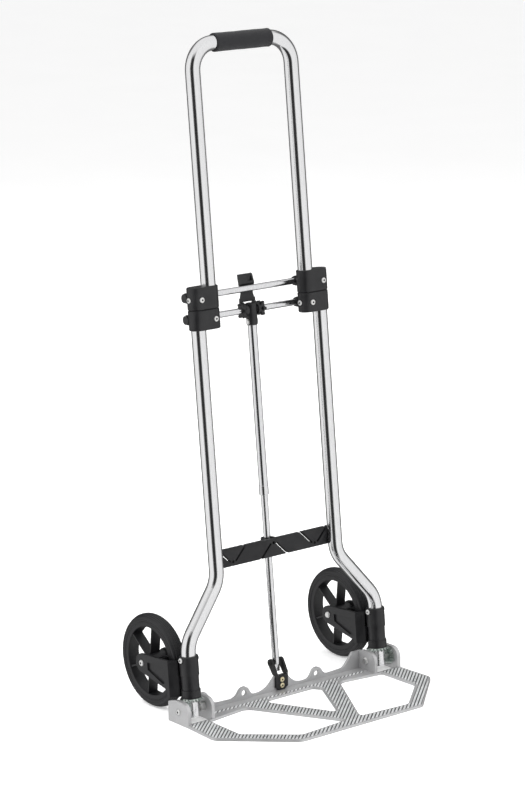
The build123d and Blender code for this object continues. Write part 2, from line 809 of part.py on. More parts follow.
# ---------------------------------------------------------------- wheel brackets and wheels
for side, s in SIDES:
    with BuildPart() as bracket:
        for low, whole in ((inner_low, True), (outer_low, False)):
            with BuildSketch(across(low, s * foot_x)):
                with BuildLine():
                    Polyline(*[(s * x, v) for x, v in web_outline], close=True)
                make_face()
                if not whole:
                    with Locations((-s * arm_out, post[0])):
                        Rectangle(2 * arm_out, 4 * post[0], mode=Mode.SUBTRACT)
            extrude(amount=arm_top - low)
        for out, low in ((1, outer_low), (-1, inner_low)):
            x0 = s * foot_x + s * out * arm_in
            x1 = s * foot_x + s * out * arm_out
            with BuildSketch(sideways(min(x0, x1))):
                with Locations((axle_v, axle_w)):
                    Circle(arm_r)
                with Locations((sum(post) / 2, (arm_foot + arm_top) / 2)):
                    Rectangle(post[1] - post[0], arm_top - arm_foot)
                make_hull()
                with Locations((sum(post) / 2, (low + arm_top) / 2)):
                    Rectangle(post[1] - post[0], arm_top - low)
                with Locations((axle_v, axle_w)):
                    Circle(axle_r + snug, mode=Mode.SUBTRACT)
            extrude(amount=arm_out - arm_in)
            with BuildSketch(outward(s * out, x1, 0, 0)):
                with BuildLine():
                    Polyline(*[(w, -s * out * v) for v, w in pocket_corners], close=True)
                make_face()
            extrude(amount=-pocket_depth, mode=Mode.SUBTRACT)
        for w0, w1, radius in (
            (sleeve[0], sleeve[1], sleeve_foot_r), (sleeve[1], sleeve[2], sleeve_r)
        ):
            with BuildSketch(across(w0, s * foot_x)):
                Circle(radius)
            extrude(amount=w1 - w0)
        drill(across(sleeve[2] + past, s * foot_x), tube_r + fit, sleeve[2] - sleeve[0] + 2 * past)
        drill(across(arm_top + past, s * foot_x), collar_room, arm_top + past - sleeve[2])
    save(bracket.part, f"wheel_bracket_{side}")

    axle_bolt = screw(
        outward(s, s * (foot_x + arm_out), axle_v, axle_w), 2 * arm_out + bolt_end, axle_head, axle_r
    )
    save(axle_bolt.part, f"axle_bolt_{side}")
    axle_nut = round_bar(
        outward(-s, s * (foot_x - arm_out), axle_v, axle_w), *axle_nut_size, axle_r
    )
    save(axle_nut.part, f"axle_nut_{side}")

    hub = Plane(origin=(s * foot_x, axle_y, wheel_r), x_dir=(1, 0, 0), z_dir=(0, -1, 0))
    spin = Axis(hub.origin, (1, 0, 0))
    with BuildPart() as tyre:
        with BuildSketch(hub):
            with BuildLine():
                Polyline(
                    (-tyre_half, tyre_shoulder), (-tyre_half, tyre_in + tyre_lip),
                    (-rim_half, tyre_in), (rim_half, tyre_in), (tyre_half, tyre_in + tyre_lip),
                    (tyre_half, tyre_shoulder),
                )
                ThreePointArc(
                    (tyre_half, tyre_shoulder), (0, wheel_r), (-tyre_half, tyre_shoulder)
                )
            make_face()
        revolve(axis=spin)
    save(tyre.part, f"tyre_{side}")

    disc = Plane(origin=hub.origin, x_dir=(0, 1, 0), z_dir=(1, 0, 0))
    rim = round_bar(disc.offset(-rim_half), 2 * rim_half, tyre_in, rim_in)
    save(rim.part, f"rim_{side}")
    with BuildPart() as spoke_set:
        with BuildSketch(disc):
            with PolarLocations((rim_in + hub_r) / 2, spokes, first_spoke):
                Rectangle(rim_in - hub_r + spoke_t, spoke_t)
            Circle(rim_in, mode=Mode.INTERSECT)
            Circle(hub_r, mode=Mode.SUBTRACT)
        extrude(amount=spoke_half, both=True)
    save(group([spoke_set]), f"spokes_{side}")
    core = round_bar(disc.offset(-hub_half), 2 * hub_half, hub_r, bush_r)
    save(core.part, f"hub_{side}")
    bush = round_bar(disc.offset(-bush_half), 2 * bush_half, bush_r, axle_r + fit)
    save(bush.part, f"hub_bush_{side}")
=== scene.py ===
import bpy
import bmesh
import json
from math import atan2, ceil, cos, pi, radians, sin, tau
from mathutils import Matrix, Vector
from mathutils.bvhtree import BVHTree


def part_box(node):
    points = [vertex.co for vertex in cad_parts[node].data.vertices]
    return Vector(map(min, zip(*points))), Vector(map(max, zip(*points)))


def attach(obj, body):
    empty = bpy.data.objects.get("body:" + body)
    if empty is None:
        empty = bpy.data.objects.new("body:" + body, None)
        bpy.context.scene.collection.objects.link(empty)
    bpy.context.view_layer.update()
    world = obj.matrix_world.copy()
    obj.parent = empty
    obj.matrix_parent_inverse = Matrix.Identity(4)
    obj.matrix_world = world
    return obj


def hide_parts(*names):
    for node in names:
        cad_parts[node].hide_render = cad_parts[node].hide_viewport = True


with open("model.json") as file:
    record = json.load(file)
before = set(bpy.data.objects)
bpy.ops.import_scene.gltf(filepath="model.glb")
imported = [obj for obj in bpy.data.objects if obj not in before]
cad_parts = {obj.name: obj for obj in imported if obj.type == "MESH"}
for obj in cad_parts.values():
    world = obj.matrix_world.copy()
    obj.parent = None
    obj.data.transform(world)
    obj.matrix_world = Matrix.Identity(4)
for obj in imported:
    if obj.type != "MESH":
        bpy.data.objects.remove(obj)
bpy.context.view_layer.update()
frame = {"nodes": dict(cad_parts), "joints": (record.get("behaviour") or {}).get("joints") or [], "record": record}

# Folding luggage cart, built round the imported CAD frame. Metres, +Z up, toe plate towards -Y.

SIDES = ("left", "right")
MM = 0.001
NEAR = 0.05 * MM             # two places closer than this count as one
nodes = frame["nodes"]
joints = {joint["name"]: joint for joint in frame["joints"]}

# The lean frame: x across, v behind the toe hinge, w up along the leaning tubes
hinge = Vector(joints["toe_fold"]["pos_m"])
lean_up = -Vector(joints["handle_slide"]["axis"])
lean_back = Vector((0, lean_up.z, -lean_up.y))
across = Vector((1, 0, 0))


# ---------------------------------------------------------------- materials
class Surface:
    """A node material being built round one Principled shader."""

    def __init__(self, name, **fixed):
        self.material = bpy.data.materials.new(name)
        self.material.use_nodes = True
        self.tree = self.material.node_tree
        self.shader = self.tree.nodes["Principled BSDF"]
        for socket, value in fixed.items():
            self.shader.inputs[socket.replace("_", " ")].default_value = value
        self.place = self.node("TexCoord").outputs["Object"]

    def node(self, kind, **settings):
        made = self.tree.nodes.new("ShaderNode" + kind)
        for key, value in settings.items():
            if key in made.inputs:
                made.inputs[key].default_value = value
            else:
                setattr(made, key, value)
        return made

    def link(self, source, target):
        self.tree.links.new(source, target)
        return target

    def stretched(self, scale):
        mapping = self.node("Mapping")
        mapping.inputs["Scale"].default_value = scale
        self.link(self.place, mapping.inputs["Vector"])
        return mapping.outputs["Vector"]

    def noise(self, scale, detail=4.0, stretch=(1, 1, 1)):
        made = self.node("TexNoise", Scale=scale, Detail=detail)
        self.link(self.stretched(stretch), made.inputs["Vector"])
        return made.outputs["Fac"]

    def cells(self, scale):
        made = self.node("TexVoronoi", Scale=scale, feature="F1")
        self.link(self.stretched((1, 1, 1)), made.inputs["Vector"])
        return made.outputs["Distance"]

    def ramp(self, factor, *stops):
        """Stops are (place, value) with a grey value or a colour."""
        made = self.node("ValToRGB")
        ramp = made.color_ramp
        while len(ramp.elements) < len(stops):
            ramp.elements.new(0.5)
        for element, (place, value) in zip(ramp.elements, stops):
            element.position = place
            grey = isinstance(value, (int, float))
            element.color = (value, value, value, 1) if grey else (*value, 1)
        self.link(factor, made.inputs["Fac"])
        return made.outputs["Color"]

    def spread(self, factor, low, high):
        made = self.node("MapRange")
        made.inputs["To Min"].default_value = low
        made.inputs["To Max"].default_value = high
        made.inputs["From Min"].default_value = 0.25
        made.inputs["From Max"].default_value = 0.75
        self.link(factor, made.inputs["Value"])
        return made.outputs["Result"]

    def mix(self, kind, factor, a, b):
        made = self.node("Mix", data_type="RGBA", blend_type=kind)
        made.inputs["Factor"].default_value = factor
        self.link(a, made.inputs["A"])
        self.link(b, made.inputs["B"])
        return made.outputs["Result"]

    def total(self, a, b, share):
        made = self.node("Math", operation="MULTIPLY_ADD")
        self.link(b, made.inputs[0])
        made.inputs[1].default_value = share
        self.link(a, made.inputs[2])
        return made.outputs["Value"]

    def colour(self, source):
        self.link(source, self.shader.inputs["Base Color"])

    def roughness(self, source):
        self.link(source, self.shader.inputs["Roughness"])

    def relief(self, height, depth):
        bump = self.node("Bump", Strength=1.0, Distance=depth)
        self.link(height, bump.inputs["Height"])
        self.link(bump.outputs["Normal"], self.shader.inputs["Normal"])


def drawn_aluminium():
    """Bright drawn tube: long fine streaks, small pits and a little haze."""
    s = Surface("tube_aluminium", Metallic=1.0)
    streaks = s.noise(900, 3, (1, 1, 0.03))
    pits = s.noise(260, 5)
    haze = s.noise(9, 3)
    drawn = s.total(streaks, haze, 0.5)
    s.colour(s.ramp(drawn, (0.45, (0.79, 0.79, 0.80)), (1.05, (0.90, 0.90, 0.905))))
    s.roughness(s.spread(s.total(haze, pits, 0.35), 0.08, 0.17))
    s.relief(s.total(streaks, s.ramp(pits, (0.28, 0.0), (0.40, 1.0)), 0.5), 0.000012)
    return s.material


def strut_aluminium():
    s = Surface("strut_aluminium", Metallic=1.0)
    streaks = s.noise(1100, 3, (1, 1, 0.04))
    haze = s.noise(14, 3)
    s.colour(s.ramp(streaks, (0.3, (0.74, 0.74, 0.755)), (0.7, (0.86, 0.86, 0.87))))
    s.roughness(s.spread(haze, 0.10, 0.18))
    s.relief(streaks, 0.00001)
    return s.material


def cast_silver():
    """Cast plate under silver paint, with a fine speckle and slight mottling."""
    s = Surface("plate_aluminium", Metallic=0.5)
    speckle = s.noise(1600, 3)
    mottle = s.noise(28, 4)
    s.colour(s.mix(
        "MULTIPLY", 1.0,
        s.ramp(speckle, (0.30, (0.42, 0.42, 0.425)), (0.72, (0.58, 0.58, 0.585))),
        s.ramp(mottle, (0.25, 0.82), (0.75, 1.0)),
    ))
    s.roughness(s.spread(s.total(mottle, speckle, 0.4), 0.22, 0.38))
    s.relief(s.total(mottle, speckle, 0.5), 0.00005)
    return s.material


def rib_silver():
    """The same cast silver rubbed bright, for the crests of the toe plate's ribs."""
    s = Surface("rib_silver", Metallic=0.5)
    rubbed = s.noise(60, 4)
    speckle = s.noise(1500, 3)
    worn = s.total(rubbed, speckle, 0.4)
    s.colour(s.ramp(worn, (0.45, (0.66, 0.665, 0.67)), (0.95, (0.90, 0.905, 0.91))))
    s.roughness(s.spread(rubbed, 0.26, 0.40))
    s.relief(speckle, 0.00003)
    return s.material


def painted_valley_shade():
    """Painted shade on the floor between the ribs, much darker than the plate and the rubbed crests."""
    s = Surface("painted_valley_shade", Metallic=0.8)
    mottle = s.noise(90, 4)
    speckle = s.noise(1500, 3)
    cast = s.total(mottle, speckle, 0.4)
    # near-black colour: painted shade between the ribs
    s.colour(s.ramp(cast, (0.45, (0.045, 0.047, 0.052)), (0.95, (0.11, 0.113, 0.12))))
    s.roughness(s.spread(mottle, 0.34, 0.50))
    s.relief(speckle, 0.00004)
    return s.material


def painted_socket_shade():
    """Painted shade down inside the hexagon sockets of the screws: near-black steel colour standing in for the
    shadow in the recess.
    """
    s = Surface("painted_socket_shade", Metallic=0.6, Specular_IOR_Level=0.2)
    shade_noise = s.noise(900, 3)
    # near-black colour with a little noise: painted shade in the socket
    s.colour(s.ramp(shade_noise, (0.3, (0.010, 0.010, 0.011)), (0.7, (0.035, 0.034, 0.032))))
    s.roughness(s.spread(shade_noise, 0.55, 0.75))
    s.relief(shade_noise, 0.00003)
    return s.material


def zinc_steel():
    s = Surface("zinc_steel", Metallic=1.0)
    bloom = s.noise(240, 5)
    turned = s.noise(2200, 2)
    s.colour(s.ramp(bloom, (0.3, (0.80, 0.80, 0.78)), (0.7, (0.92, 0.92, 0.92))))
    s.roughness(s.spread(s.total(bloom, turned, 0.3), 0.24, 0.40))
    s.relief(turned, 0.00002)
    return s.material


def gear_steel():
    """Zinc plating with a slight green cast, darker in random patches."""
    s = Surface("gear_steel", Metallic=1.0)
    bloom = s.noise(170, 5)
    low, middle, high = (0.32, 0.38, 0.36), (0.56, 0.61, 0.58), (0.74, 0.77, 0.74)
    s.colour(s.ramp(bloom, (0.32, low), (0.52, middle), (0.7, high)))
    s.roughness(s.spread(bloom, 0.22, 0.42))
    s.relief(s.noise(1500, 3), 0.00003)
    return s.material


def bright_rod():
    s = Surface("bright_steel", Metallic=1.0)
    streaks = s.noise(1300, 3, (1, 1, 0.02))
    haze = s.noise(18, 3)
    s.colour(s.ramp(streaks, (0.3, (0.76, 0.76, 0.775)), (0.7, (0.87, 0.87, 0.88))))
    s.roughness(s.spread(haze, 0.14, 0.25))
    s.relief(streaks, 0.00001)
    return s.material


def moulded(name, dark, light, low, high, grain=0.00006, scale=1300):
    """Moulded plastic with a fine spark-eroded grain and faint rubbed patches."""
    s = Surface(name, Specular_IOR_Level=0.42)
    grain_map = s.cells(scale)
    rubbed = s.noise(45, 5)
    s.colour(s.ramp(s.total(rubbed, grain_map, 0.2), (0.30, dark), (0.85, light)))
    s.roughness(s.spread(s.total(rubbed, grain_map, 0.3), low, high))
    s.relief(s.total(grain_map, rubbed, 0.3), grain)
    return s.material


def painted_steel():
    s = Surface("black_steel", Specular_IOR_Level=0.30)
    peel = s.noise(420, 3)
    dust = s.noise(60, 5)
    s.colour(s.ramp(dust, (0.3, (0.008, 0.008, 0.009)), (0.8, (0.017, 0.017, 0.018))))
    s.roughness(s.spread(dust, 0.36, 0.50))
    s.relief(peel, 0.00004)
    return s.material


def tyre_rubber():
    """Dull rubber, a little dusty, with fine mould marks."""
    s = Surface("tyre_rubber", Specular_IOR_Level=0.42)
    dust = s.noise(38, 5)
    marks = s.noise(900, 3)
    dull = s.total(dust, marks, 0.35)
    s.colour(s.ramp(dull, (0.35, (0.004, 0.004, 0.005)), (0.95, (0.014, 0.014, 0.015))))
    s.roughness(s.spread(dust, 0.32, 0.52))
    s.relief(marks, 0.00008)
    return s.material


def foam():
    """Closed-cell foam: small open pores over a soft skin, the pores darkened in colour as painted shade."""
    s = Surface("grip_foam", Specular_IOR_Level=0.2, Sheen_Weight=0.08, Sheen_Roughness=0.6)
    pores = s.cells(850)
    soft = s.noise(70, 4)
    s.colour(s.mix(
        "MULTIPLY", 1.0,
        # the darker pore centres are painted shade in the pores
        s.ramp(pores, (0.10, (0.007, 0.007, 0.008)), (0.45, (0.018, 0.018, 0.020))),
        s.ramp(soft, (0.3, 0.82), (0.7, 1.0)),
    ))
    s.roughness(s.spread(soft, 0.70, 0.88))
    s.relief(s.total(pores, soft, 0.6), 0.00018)
    return s.material


def yellow_zinc():
    s = Surface("brass", Metallic=1.0)
    bloom = s.noise(300, 4)
    s.colour(s.ramp(bloom, (0.3, (0.66, 0.55, 0.30)), (0.7, (0.93, 0.86, 0.62))))
    s.roughness(s.spread(bloom, 0.22, 0.38))
    s.relief(s.noise(2000, 2), 0.00002)
    return s.material


finishes = {
    "tube_aluminium": drawn_aluminium(),
    "strut_aluminium": strut_aluminium(),
    "plate_aluminium": cast_silver(),
    "zinc_steel": zinc_steel(),
    "gear_steel": gear_steel(),
    "bright_steel": bright_rod(),
    "black_plastic": moulded("black_plastic", (0.006, 0.006, 0.007), (0.014, 0.014, 0.015), 0.26, 0.42),
    "black_steel": painted_steel(),
    "rim_plastic": moulded("rim_plastic", (0.004, 0.004, 0.005), (0.010, 0.010, 0.011), 0.28, 0.44),
    "tyre_rubber": tyre_rubber(),
    "grip_foam": foam(),
    "brass": yellow_zinc(),
}
# painted shade for the hexagon sockets of the screws and nuts
socket_shade_paint = painted_socket_shade()
bright_rib = rib_silver()
# painted shade for the valleys between the toe plate's ribs
valley_shade_paint = painted_valley_shade()
slot_of = {part["node"]: part["material_slot"] for part in frame["record"]["subparts"]}
body_of = {n: body for body, members in frame["record"]["behaviour"]["bodies"].items() for n in members}


def finish_node(name):
    mesh = nodes[name].data
    mesh.materials.clear()
    mesh.materials.append(finishes[slot_of[name]])


for name in nodes:
    finish_node(name)


# ---------------------------------------------------------------- shared mesh code
def piece(name, bm, stands_for):
    """An object from a bmesh that rides, and takes its finish, as the CAD node it stands for."""
    bmesh.ops.recalc_face_normals(bm, faces=bm.faces)
    mesh = bpy.data.meshes.new(name)
    bm.to_mesh(mesh)
    bm.free()
    made = bpy.data.objects.new(name, mesh)
    bpy.context.scene.collection.objects.link(made)
    mesh.materials.append(finishes[slot_of[stands_for]])
    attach(made, body_of[stands_for])
    return made


def smooth(made, angle=35):
    mesh = made.data
    mesh.shade_smooth()
    mesh.set_sharp_from_angle(angle=radians(angle))


def welded(name):
    """A bmesh of a CAD node with its corners joined and its flat faces whole."""
    bm = bmesh.new()
    bm.from_mesh(nodes[name].data)
    bmesh.ops.remove_doubles(bm, verts=bm.verts, dist=1e-6)
    return bm


def eased(name, width, steps=2):
    """Stands for a CAD node with its sharp edges rounded, as moulding or casting leaves them."""
    bm = welded(name)
    bmesh.ops.dissolve_limit(
        bm, angle_limit=radians(0.8), use_dissolve_boundaries=False, verts=bm.verts, edges=bm.edges
    )
    made = piece(name + "_eased", bm, name)
    smooth(made)
    bevel = made.modifiers.new("ease", "BEVEL")
    bevel.width = width
    bevel.segments = steps
    bevel.limit_method = "ANGLE"
    bevel.angle_limit = radians(38)
    bevel.use_clamp_overlap = True
    bevel.harden_normals = True
    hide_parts(name)


def lathe(bm, profile, origin, axis, steps, facets=()):
    """Turn a profile of (radius, height) about an axis. Rings listed in facets are hexagons."""
    axis = axis.normalized()
    side = axis.orthogonal().normalized()
    other = axis.cross(side)
    rings = []
    for i, (radius, height) in enumerate(profile):
        ring = []
        for k in range(steps):
            turn = tau * k / steps
            reach = radius
            if i in facets:
                within = turn % (pi / 3) - pi / 6
                reach = radius * cos(pi / 6) / cos(within)
            ring.append(bm.verts.new(
                origin + axis * height + (side * cos(turn) + other * sin(turn)) * reach
            ))
        rings.append(ring)
    for low, high in zip(rings, rings[1:]):
        for k in range(steps):
            m = (k + 1) % steps
            bm.faces.new((low[k], low[m], high[m], high[k]))
    return rings


def close_round(bm, rings):
    """Join the last ring to the first, which makes a turned ring solid."""
    for k in range(len(rings[0])):
        m = (k + 1) % len(rings[0])
        bm.faces.new((rings[-1][k], rings[-1][m], rings[0][m], rings[0][k]))


# ---------------------------------------------------------------- screws and bolts
PARALLEL = 0.999             # cosine above which a face counts as facing along an axis
HEAD_STEPS = 48

# Outlines of a domed head, as (share of its radius, share of its thickness)
SCREW_DOME = ((1.0, 0.25), (0.93, 0.62), (0.76, 0.90), (0.62, 1.0))
NUT_DOME = ((1.0, 0.35), (0.93, 0.68), (0.78, 0.92), (0.62, 1.0))

# How deep the wall and the floor of a socket end, as shares of the head's thickness
SCREW_DEPTHS = (0.85, 1.0)
NUT_DEPTHS = (0.6, 0.7)

# The chamfer round a socket and the flat at its bottom: radii are shares of the socket's own
CHAMFER_R = 1.12
CHAMFER_DEPTH = 0.12 * MM
BOTTOM_R = 0.35


def loose_parts(name):
    """The separate solids of a CAD node, each as a list of corners and the normals at them."""
    bm = welded(name)
    left = set(bm.verts)
    parts = []
    while left:
        pending = [left.pop()]
        found = []
        while pending:
            vert = pending.pop()
            found.append(vert)
            for edge in vert.link_edges:
                mate = edge.other_vert(vert)
                if mate in left:
                    left.remove(mate)
                    pending.append(mate)
        faces = {face for vert in found for face in vert.link_faces}
        parts.append((
            [vert.co.copy() for vert in found],
            [(face.normal.copy(), face.calc_area()) for face in faces],
        ))
    bm.free()
    return parts


def along(corners, faces):
    """The axis and middle of a turned part, and its lowest and highest place along the axis."""
    choices = (across, lean_back, lean_up, Vector((0, 1, 0)))
    axis = max(
        choices, key=lambda a: sum(area for normal, area in faces if abs(normal.dot(a)) > PARALLEL)
    )
    middle = sum(corners, Vector()) / len(corners)
    places = [(c - middle).dot(axis) for c in corners]
    return axis, middle, min(places), max(places)


def girth(corners, axis, middle, place):
    """Largest radius of the corners that stand at a place along the axis."""
    here = [c - middle for c in corners if abs((c - middle).dot(axis) - place) < NEAR]
    return max((h - axis * h.dot(axis)).length for h in here)


def socket_head(dome, radius, base, thick, socket, depths):
    """Profile of a domed head, up its side and down into its hexagon socket."""
    end = base + thick
    wall, bottom = depths
    return [(share * radius, base + rise * thick) for share, rise in dome] + [
        (CHAMFER_R * socket, end), (socket, end - CHAMFER_DEPTH),
        (socket, end - wall * thick), (BOTTOM_R * socket, end - bottom * thick),
    ]


def turn_head(bm, profile, middle, axis):
    """Add a closed turned part whose profile ends in a hexagon socket, which gets the painted shade material."""
    count = len(profile)
    rings = lathe(bm, profile, middle, axis, HEAD_STEPS, facets=(count - 3, count - 2))
    bm.faces.new(rings[0])
    bm.faces.new(rings[-1])
    # the socket's wall and floor faces take the painted shade
    for face in {face for ring in rings[-2:] for vert in ring for face in vert.link_faces}:
        face.material_index = 1


def finish_heads(name, bm):
    """Make the turned heads the piece that stands for their CAD node."""
    made = piece(name + "_turned", bm, name)
    # second slot: painted shade for the sockets
    made.data.materials.append(socket_shade_paint)
    smooth(made, 30)
    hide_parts(name)


def fasteners(name, socket):
    """Every screw of a CAD node with a domed head and a hexagon socket of the given radius."""
    bm = bmesh.new()
    for corners, faces in loose_parts(name):
        axis, middle, low, high = along(corners, faces)
        broad = max(
            (girth(corners, axis, middle, place), place)
            for place in {round((c - middle).dot(axis), 5) for c in corners}
        )
        head_end = high if abs(broad[1] - high) < abs(broad[1] - low) else low
        tail_end = low + high - head_end
        if head_end < tail_end:
            axis = -axis
            head_end = -head_end
            tail_end = -tail_end
            broad = (broad[0], -broad[1])
        shank_r = girth(corners, axis, middle, tail_end)
        head_r, head_base = broad
        profile = [(shank_r, tail_end), (shank_r, head_base), (head_r, head_base)]
        thick = head_end - head_base
        profile += socket_head(SCREW_DOME, head_r, head_base, thick, socket, SCREW_DEPTHS)
        turn_head(bm, profile, middle, axis)
    finish_heads(name, bm)


BOLT_SOCKET = 2.0 * MM
for name, socket in (
    ("frame_screws", 1.9 * MM), ("handle_screws", 1.9 * MM), ("collar_screws", 1.9 * MM),
    ("plate_rivets", 1.7 * MM), ("yoke_screws", 1.8 * MM), ("clevis_pins", 1.7 * MM),
    ("clevis_screws", 1.8 * MM), ("hinge_bolts", BOLT_SOCKET),
    ("axle_bolt_left", BOLT_SOCKET), ("axle_bolt_right", BOLT_SOCKET),
):
    fasteners(name, socket)


def domed(name, socket):
    """Every nut of a CAD node as a domed cap with a hexagon socket that faces the cart's middle."""
    bm = bmesh.new()
    for corners, _ in loose_parts(name):
        middle = sum(corners, Vector()) / len(corners)
        axis = across * (-1 if middle.x > 0 else 1)
        low = min((c - middle).dot(axis) for c in corners)
        high = max((c - middle).dot(axis) for c in corners)
        radius = girth(corners, axis, middle, high)
        profile = [(radius, low)]
        profile += socket_head(NUT_DOME, radius, low, high - low, socket, NUT_DEPTHS)
        turn_head(bm, profile, middle, axis)
    finish_heads(name, bm)


for name in ("hinge_nuts", "axle_nut_left", "axle_nut_right"):
    domed(name, BOLT_SOCKET)


# ---------------------------------------------------------------- wheels
TYRE_STEPS = 144


def tyre(side):
    """A solid tyre: domed tread with ridges round it, and a stepped sidewall."""
    low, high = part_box(f"tyre_{side}")
    middle = (low + high) / 2
    outer = (high.z - low.z) / 2
    half = (high.x - low.x) / 2
    inner = outer - 13.5 * MM
    dome = 6.0 * MM
    shoulder = outer - dome
    flat = half - 0.6 * MM
    pitch = 3.3 * MM
    depth = 1.0 * MM
    grooved = 0.86 * half
    count = 120
    tread = []
    for i in range(count + 1):
        x = -flat + 2 * flat * i / count
        radius = shoulder + dome * (1 - (x / half) ** 2) ** 0.8
        groove = (0.5 - 0.5 * cos(tau * x / pitch)) ** 2
        worn = max(0.0, 1 - (x / grooved) ** 10)
        tread.append((radius - depth * groove * worn, x))
    wall = [
        (shoulder - 0.2 * MM, half - 0.25 * MM), (shoulder - 1.0 * MM, half),
        (shoulder - 2.6 * MM, half), (shoulder - 3.0 * MM, half - 0.5 * MM),
        (shoulder - 3.8 * MM, half - 0.5 * MM), (shoulder - 4.2 * MM, half - 0.05 * MM),
        (inner + 1.2 * MM, half - 0.1 * MM), (inner + 0.5 * MM, half - 0.6 * MM),
        (inner, half - 1.0 * MM),
    ]
    profile = [(r, -x) for r, x in reversed(wall)] + tread + wall
    bm = bmesh.new()
    close_round(bm, lathe(bm, profile, middle, across, TYRE_STEPS))
    made = piece(f"tyre_tread_{side}", bm, f"tyre_{side}")
    smooth(made, 40)
    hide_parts(f"tyre_{side}")


for side in SIDES:
    tyre(side)


# ---------------------------------------------------------------- foam grip
GRIP_STEPS = 64


def foam_grip():
    """A soft sleeve with rounded ends and a slightly uneven surface."""
    low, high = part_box("foam_grip")
    middle = (low + high) / 2
    half = (high.x - low.x) / 2
    radius = (high.z - low.z) / 2
    bore = radius - 3.0 * MM
    lip = 2.2 * MM
    inner_edge = ((bore + 0.3 * MM, 0.1 * MM), (bore, 0.6 * MM))
    profile = [(r, -half + inset) for r, inset in reversed(inner_edge)]
    arc = 8
    for i in range(arc + 1):
        turn = pi / 2 * i / arc
        profile.append((radius - lip + lip * sin(turn), -half + lip - lip * cos(turn)))
    rows = 60
    slack = 0.2 * MM
    for i in range(1, rows):
        x = -half + lip + (2 * half - 2 * lip) * i / rows
        swell = 0.12 * MM * sin(x * 95.0) + 0.08 * MM * sin(x * 231.0 + 1.0)
        profile.append((radius - slack + swell, x))
    for i in range(arc, -1, -1):
        turn = pi / 2 * i / arc
        profile.append((radius - lip + lip * sin(turn), half - lip + lip * cos(turn)))
    profile += [(r, half - inset) for r, inset in inner_edge]
    bm = bmesh.new()
    close_round(bm, lathe(bm, profile, middle, across, GRIP_STEPS))
    made = piece("foam_sleeve", bm, "foam_grip")
    smooth(made, 60)
    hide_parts("foam_grip")


foam_grip()

# ---------------------------------------------------------------- moulded and cast parts
for side in SIDES:
    for stem in ("upper_block", "lower_block", "collar"):
        eased(f"{stem}_{side}", 0.5 * MM)
    eased(f"wheel_bracket_{side}", 0.6 * MM)
    eased(f"rim_{side}", 0.6 * MM)
    eased(f"spokes_{side}", 0.35 * MM)
    eased(f"hub_{side}", 0.6 * MM)
eased("toe_plate", 0.7 * MM)
eased("latch_lever", 0.7 * MM)
eased("cross_plate", 0.3 * MM)
eased("strut_clevis", 0.4 * MM)
eased("strut_yoke", 0.4 * MM)
eased("star_collars", 0.4 * MM)


# ---------------------------------------------------------------- ribs on the toe plate
SHORTEST_RIB = 1.5 * MM
RIB_STRIDE = 0.8 * MM        # how closely a rib's line is tested against the plate
RIB_MARGIN = 2.6 * MM        # plain border left along every edge
RAY_HEIGHT = 0.1             # rays that look for the plate start this far up
NOSE_INSET = 8 * MM          # a spot this far in from the front edge is on the flat top
RAISED = (2, 3, 4)           # sides of a rib's section that stand above the valleys

# The ribbed band at the flange's foot, as a range behind the hinge and half its width
BAND = (-6.0 * MM, 1.5 * MM)
BAND_HALF = 166 * MM

# Where the other ribs end at the back, behind the hinge, by distance from the middle
INNER_HALF = 100 * MM
OUTER_HALF = 168 * MM
INNER_REAR = -8.0 * MM
OUTER_REAR = -24.5 * MM
SLOPE_REAR = -16.0 * MM
SLOPE = -13 / 87


def rib_spans(tree, top, start, run, length, step):
    """Stretches of a straight line in plan that lie on the plate's flat top."""
    spans = []
    since = None
    for i in range(int(length / step) + 1):
        spot = start + run * (i * step)
        if ribbed(tree, top, spot):
            since = i if since is None else since
        elif since is not None:
            spans.append((since * step, (i - 1) * step))
            since = None
    return [span for span in spans if span[1] - span[0] > SHORTEST_RIB]


def below(tree, spot):
    """Where a ray that falls on the spot first meets the plate."""
    return tree.ray_cast(spot + Vector((0, 0, RAY_HEIGHT)), Vector((0, 0, -1)))[0]


def on_top(tree, top, spot):
    hit = below(tree, spot)
    return hit is not None and abs(hit.z - top) < NEAR


def ribbed(tree, top, spot):
    """Ribs cover the bars and the root of the V, and a narrow band at the foot of the flange."""
    r = spot.y - hinge.y
    x = abs(spot.x)
    band = BAND[0] < r < BAND[1] and x < BAND_HALF
    if x > OUTER_HALF:
        rear = OUTER_REAR
    elif x > INNER_HALF:
        rear = SLOPE_REAR + SLOPE * (x - INNER_HALF)
    else:
        rear = INNER_REAR
    if r > rear and not band:
        return False
    around = [Vector((0, 0, 0))] + [
        Vector((cos(turn), sin(turn), 0)) * RIB_MARGIN for turn in (tau * k / 8 for k in range(8))
    ]
    return all(on_top(tree, top, spot + offset) for offset in around)


